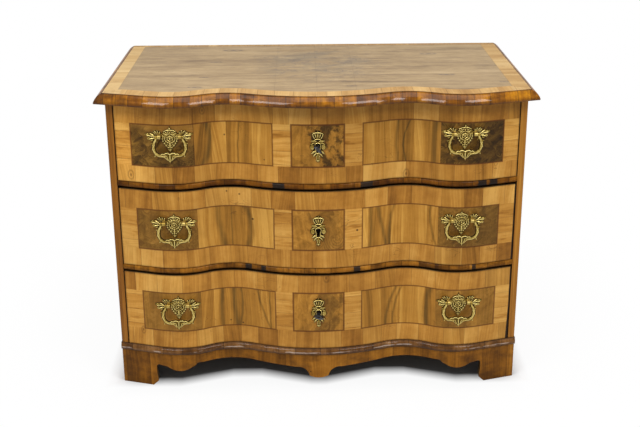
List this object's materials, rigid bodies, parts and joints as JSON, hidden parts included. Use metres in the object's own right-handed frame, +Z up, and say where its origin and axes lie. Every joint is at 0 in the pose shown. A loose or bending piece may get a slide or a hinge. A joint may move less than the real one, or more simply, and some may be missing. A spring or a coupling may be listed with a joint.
{
  "type": "serpentine-front chest of drawers",
  "caption": "Walnut-veneered commode with a serpentine front, long dovetailed drawers, moulded top, bracket feet, cast bail handles and drawer locks.",
  "frame": {"origin": "bottom centre of the whole part, on the floor", "axes": "+X to the right seen from the front, +Y to the back, +Z up"},
  "size_m": [1.132, 0.686, 0.82],
  "materials": {
    "case_walnut": "waxed walnut veneer",
    "top_walnut": "waxed, faded walnut veneer",
    "crossbanding": "waxed, pale cross-grain veneer",
    "moulding_walnut": "polished cross-grain walnut",
    "plinth_walnut": "waxed walnut veneer",
    "softwood": "bare aged pine",
    "drawer_veneer": "waxed walnut and fruitwood veneer",
    "drawer_softwood": "bare aged pine",
    "aged_brass": "cast, aged",
    "lock_iron": "forged, dark",
    "key_steel": "worn"
  },
  "bodies": {
    "carcass": {"back_boards": "softwood", "base_moulding_front": "moulding_walnut", "base_moulding_left": "moulding_walnut", "base_moulding_right": "moulding_walnut", "bottom_board": "softwood", "divider_rail_lower": "moulding_walnut", "divider_rail_upper": "moulding_walnut", "drawer_runners": "softwood", "drawer_stops": "softwood", "foot_blocks": "softwood", "plinth_front": "plinth_walnut", "plinth_left": "plinth_walnut", "plinth_right": "plinth_walnut", "rear_feet": "softwood", "side_left": "case_walnut", "side_right": "case_walnut", "top_board": "softwood", "top_crossbanding": "crossbanding", "top_moulding_front": "moulding_walnut", "top_moulding_left": "moulding_walnut", "top_moulding_right": "moulding_walnut", "top_veneer_field": "top_walnut"},
    "upper_drawer": {"upper_drawer_front": "drawer_veneer", "upper_drawer_sides": "drawer_softwood", "upper_drawer_back": "drawer_softwood", "upper_drawer_bottom": "drawer_softwood", "upper_lock_case": "lock_iron", "upper_escutcheon": "aged_brass", "upper_handle_plates": "aged_brass", "upper_handle_posts": "aged_brass", "upper_post_nuts": "aged_brass"},
    "upper_bolt": {"upper_lock_bolt": "lock_iron"},
    "upper_key_turned": {"upper_key": "key_steel"},
    "upper_bail_left": {"upper_bail_left": "aged_brass"},
    "upper_bail_right": {"upper_bail_right": "aged_brass"},
    "middle_drawer": {"middle_drawer_front": "drawer_veneer", "middle_drawer_sides": "drawer_softwood", "middle_drawer_back": "drawer_softwood", "middle_drawer_bottom": "drawer_softwood", "middle_lock_case": "lock_iron", "middle_escutcheon": "aged_brass", "middle_handle_plates": "aged_brass", "middle_handle_posts": "aged_brass", "middle_post_nuts": "aged_brass"},
    "middle_bolt": {"middle_lock_bolt": "lock_iron"},
    "middle_bail_left": {"middle_bail_left": "aged_brass"},
    "middle_bail_right": {"middle_bail_right": "aged_brass"},
    "lower_drawer": {"lower_drawer_front": "drawer_veneer", "lower_drawer_sides": "drawer_softwood", "lower_drawer_back": "drawer_softwood", "lower_drawer_bottom": "drawer_softwood", "lower_lock_case": "lock_iron", "lower_escutcheon": "aged_brass", "lower_handle_plates": "aged_brass", "lower_handle_posts": "aged_brass", "lower_post_nuts": "aged_brass"},
    "lower_bolt": {"lower_lock_bolt": "lock_iron"},
    "lower_key_turned": {"lower_key": "key_steel"},
    "lower_bail_left": {"lower_bail_left": "aged_brass"},
    "lower_bail_right": {"lower_bail_right": "aged_brass"}
  },
  "joints": [
    {"name": "upper_drawer_slide", "type": "slide", "parent": "carcass", "child": "upper_drawer", "axis": [0, -1, 0], "range_m": [0, 0.42]},
    {"name": "upper_bolt_throw", "type": "slide", "parent": "upper_drawer", "child": "upper_bolt", "axis": [0, 0, 1], "range_m": [-0.00338, 0.01062]},
    {"name": "upper_key_turn", "type": "hinge", "parent": "upper_drawer", "child": "upper_key_turned", "pos_m": [0, -0.328, 0.68965], "axis": [0, -1, 0], "range_deg": [-43.51, 136.51]},
    {"name": "upper_bail_left_swing", "type": "hinge", "parent": "upper_drawer", "child": "upper_bail_left", "pos_m": [-0.374, -0.306, 0.71765], "axis": [-1, 0, 0], "range_deg": [0, 90]},
    {"name": "upper_bail_right_swing", "type": "hinge", "parent": "upper_drawer", "child": "upper_bail_right", "pos_m": [0.374, -0.306, 0.71765], "axis": [-1, 0, 0], "range_deg": [0, 90]},
    {"name": "middle_drawer_slide", "type": "slide", "parent": "carcass", "child": "middle_drawer", "axis": [0, -1, 0], "range_m": [0, 0.42]},
    {"name": "middle_bolt_throw", "type": "slide", "parent": "middle_drawer", "child": "middle_bolt", "axis": [0, 0, 1], "range_m": [0, 0.014]},
    {"name": "middle_bail_left_swing", "type": "hinge", "parent": "middle_drawer", "child": "middle_bail_left", "pos_m": [-0.374, -0.306, 0.4844], "axis": [-1, 0, 0], "range_deg": [0, 90]},
    {"name": "middle_bail_right_swing", "type": "hinge", "parent": "middle_drawer", "child": "middle_bail_right", "pos_m": [0.374, -0.306, 0.4844], "axis": [-1, 0, 0], "range_deg": [0, 90]},
    {"name": "lower_drawer_slide", "type": "slide", "parent": "carcass", "child": "lower_drawer", "axis": [0, -1, 0], "range_m": [0, 0.42]},
    {"name": "lower_bolt_throw", "type": "slide", "parent": "lower_drawer", "child": "lower_bolt", "axis": [0, 0, 1], "range_m": [-0.00583, 0.00817]},
    {"name": "lower_key_turn", "type": "hinge", "parent": "lower_drawer", "child": "lower_key_turned", "pos_m": [0, -0.328, 0.2269], "axis": [0, -1, 0], "range_deg": [-75.01, 105.01]},
    {"name": "lower_bail_left_swing", "type": "hinge", "parent": "lower_drawer", "child": "lower_bail_left", "pos_m": [-0.374, -0.306, 0.2509], "axis": [-1, 0, 0], "range_deg": [0, 90]},
    {"name": "lower_bail_right_swing", "type": "hinge", "parent": "lower_drawer", "child": "lower_bail_right", "pos_m": [0.374, -0.306, 0.2509], "axis": [-1, 0, 0], "range_deg": [0, 90]}
  ],
  "couplings": [
    {"joint": "upper_key_turn", "follows": "upper_bolt_throw", "rad_per_m": 224.4},
    {"joint": "lower_key_turn", "follows": "lower_bolt_throw", "rad_per_m": 224.4}
  ]
}
